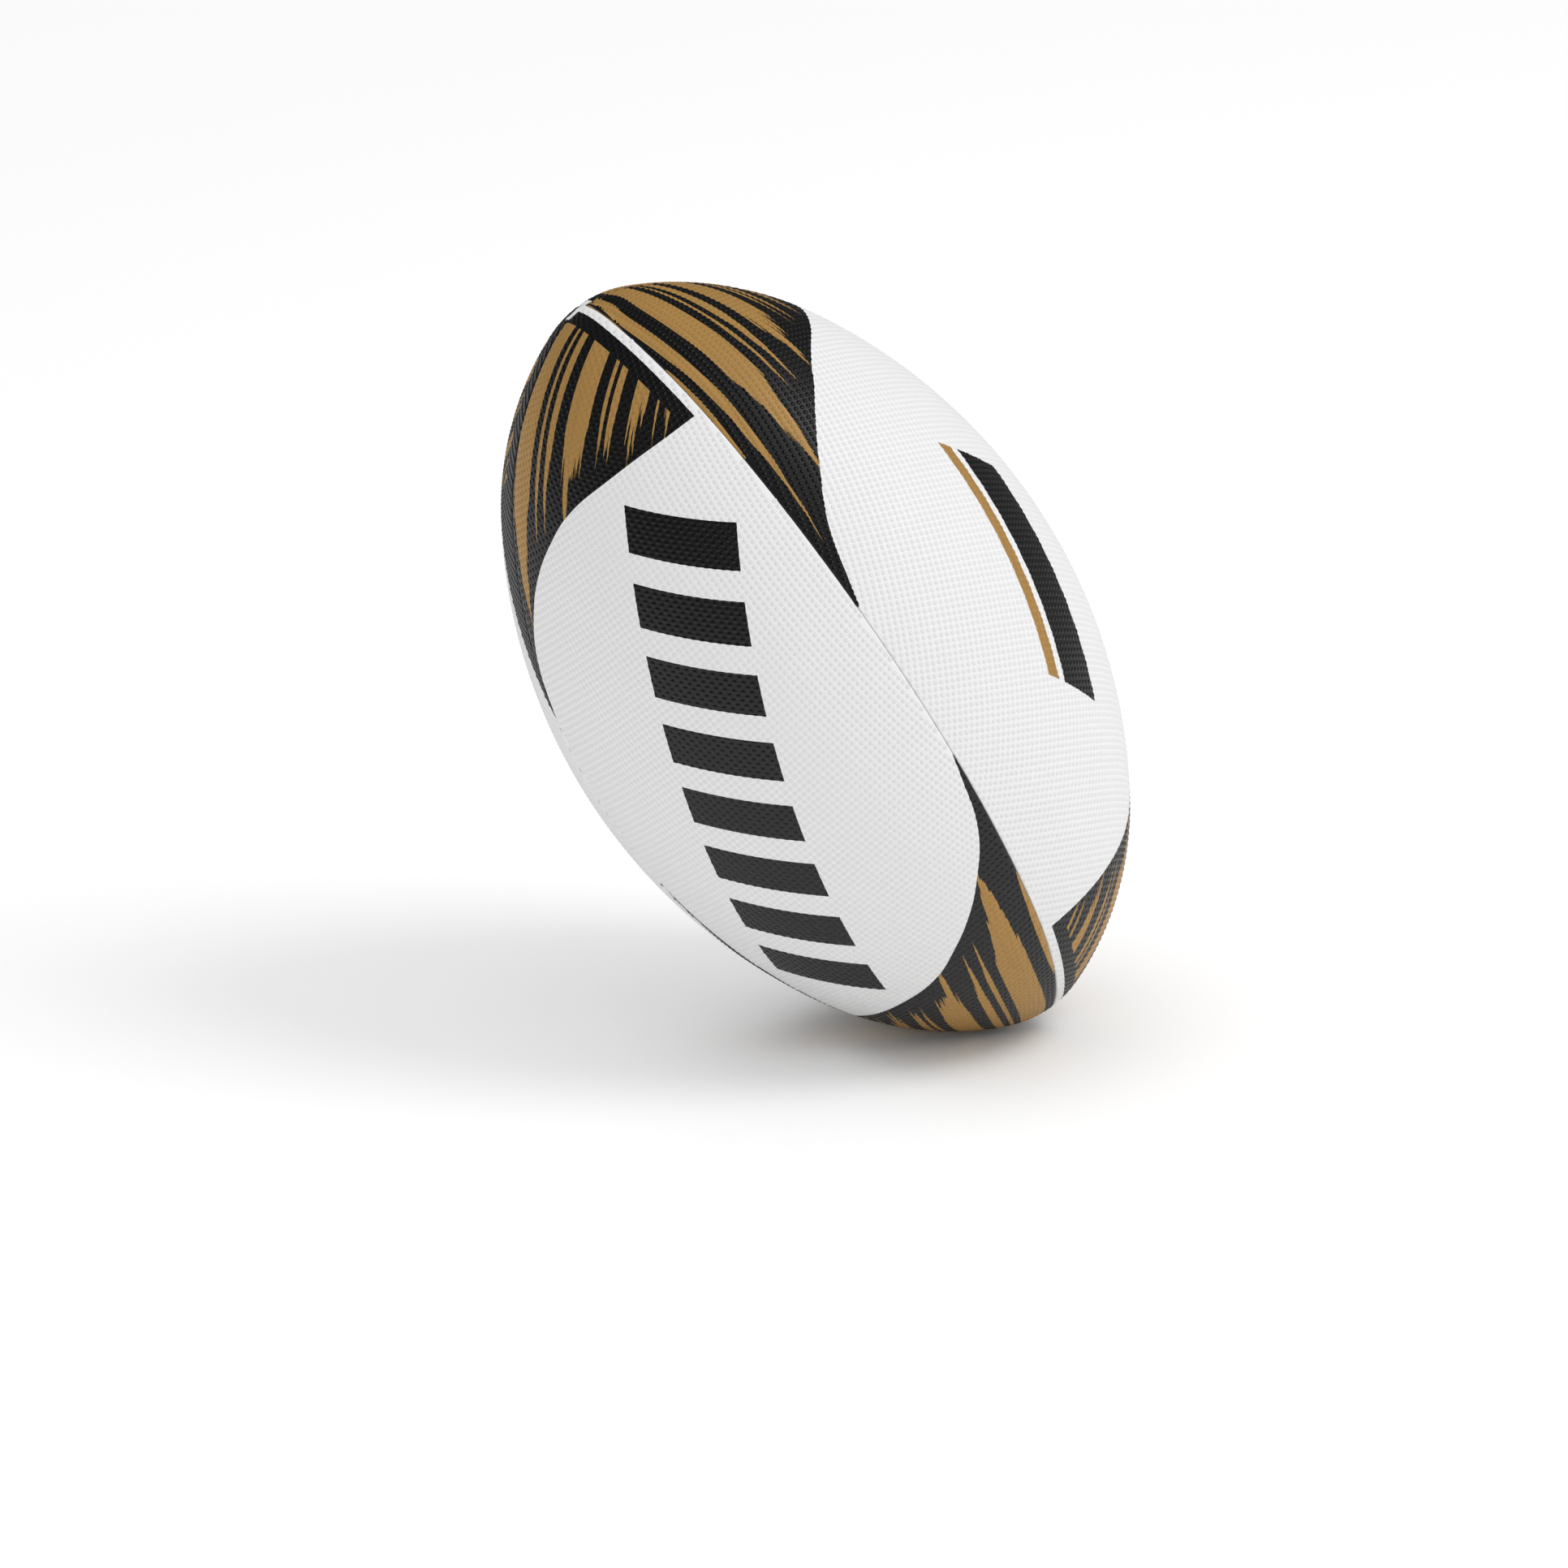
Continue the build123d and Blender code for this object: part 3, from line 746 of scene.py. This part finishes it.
class BALL_OT_stage(bpy.types.Operator):
    """Set up the floor, the lights and the camera."""
    bl_idname = "ball.stage"
    bl_label = "Stage"

    def execute(self, context):
        scene = context.scene
        stage = scene.ball_stage
        ground = CAD_BOX[0].z - scene.ball_pimples.height
        form = bmesh.new()
        form.faces.new([form.verts.new((x * FLOOR_REACH, y * FLOOR_REACH, ground))
                        for x, y in ((-1, -1), (1, -1), (1, 1), (-1, 1))])
        mesh = bpy.data.meshes.new("floor")
        form.to_mesh(mesh)
        form.free()
        floor = bpy.data.objects.new("floor", mesh)
        scene.collection.objects.link(floor)
        # painted board, matt, so that the lamps leave no shine on it
        material, _, shader = new_material("painted_board_matt")
        shader.inputs["Base Color"].default_value = stage.floor
        shader.inputs["Roughness"].default_value = 0.9
        mesh.materials.append(material)

        world = bpy.data.worlds.new("studio")
        scene.world = world
        world.use_nodes = True
        tree = world.node_tree
        back = tree.nodes["Background"]
        back.inputs["Color"].default_value = linear("#FFFFFF")
        # reflections see a dimmer room, so that dark rubber shines only where a lamp strikes it
        ray = add(tree, "ShaderNodeLightPath")
        level = add(tree, MAP_RANGE, {"Value": ray.outputs["Is Glossy Ray"], "To Min": ROOM_LIGHT,
                                      "To Max": ROOM_LIGHT_IN_GLOSS})
        tree.links.new(level.outputs[0], back.inputs["Strength"])
        for name, place, width, power in LAMPS:
            lamp = bpy.data.lights.new(name, "AREA")
            lamp.shape, lamp.size, lamp.energy = "DISK", width, power
            holder = bpy.data.objects.new(name, lamp)
            holder.location = place
            holder.rotation_euler = (-Vector(place)).to_track_quat("-Z", "Y").to_euler()
            scene.collection.objects.link(holder)

        lens = bpy.data.cameras.new("camera")
        lens.sensor_width = SENSOR_WIDTH
        lens.lens = SENSOR_WIDTH * stage.distance / stage.frame_width
        lens.clip_end = 100.0
        camera = bpy.data.objects.new("camera", lens)
        toward = Vector((0, cos(stage.elevation), -sin(stage.elevation)))
        upward = Vector((0, sin(stage.elevation), cos(stage.elevation)))
        aim = Vector((-stage.right, 0, 0)) - upward * stage.up
        camera.location = aim - toward * stage.distance
        camera.rotation_euler = toward.to_track_quat("-Z", "Y").to_euler()
        scene.collection.objects.link(camera)
        scene.camera = camera
        scene.view_settings.view_transform = "Standard"
        return {"FINISHED"}


class BALL_PT_sidebar(bpy.types.Panel):
    """List of the ball's pieces."""
    bl_label = "Rugby Ball"
    bl_idname = "BALL_PT_sidebar"
    bl_space_type = "VIEW_3D"
    bl_region_type = "UI"
    bl_category = "Rugby Ball"

    def draw(self, context):
        for operator in OPERATORS:
            self.layout.operator(operator.bl_idname)


GROUPS = {"ball_shape": BallShape, "ball_pimples": PimpleSizes, "ball_inks": PrintInks,
          "ball_inner": InnerColours, "ball_stage": StageSettings}
OPERATORS = (BALL_OT_covers, BALL_OT_casing, BALL_OT_bladder, BALL_OT_stage)


def register():
    for cls in (*GROUPS.values(), *OPERATORS, BALL_PT_sidebar):
        bpy.utils.register_class(cls)
    for name, group in GROUPS.items():
        setattr(bpy.types.Scene, name, bpy.props.PointerProperty(type=group))


def unregister():
    for name in GROUPS:
        delattr(bpy.types.Scene, name)
    for cls in (BALL_PT_sidebar, *reversed(OPERATORS), *reversed(list(GROUPS.values()))):
        bpy.utils.unregister_class(cls)


def main():
    register()
    bpy.ops.ball.covers()
    bpy.ops.ball.casing()
    bpy.ops.ball.bladder()
    bpy.ops.ball.stage()


if __name__ == "__main__":
    main()
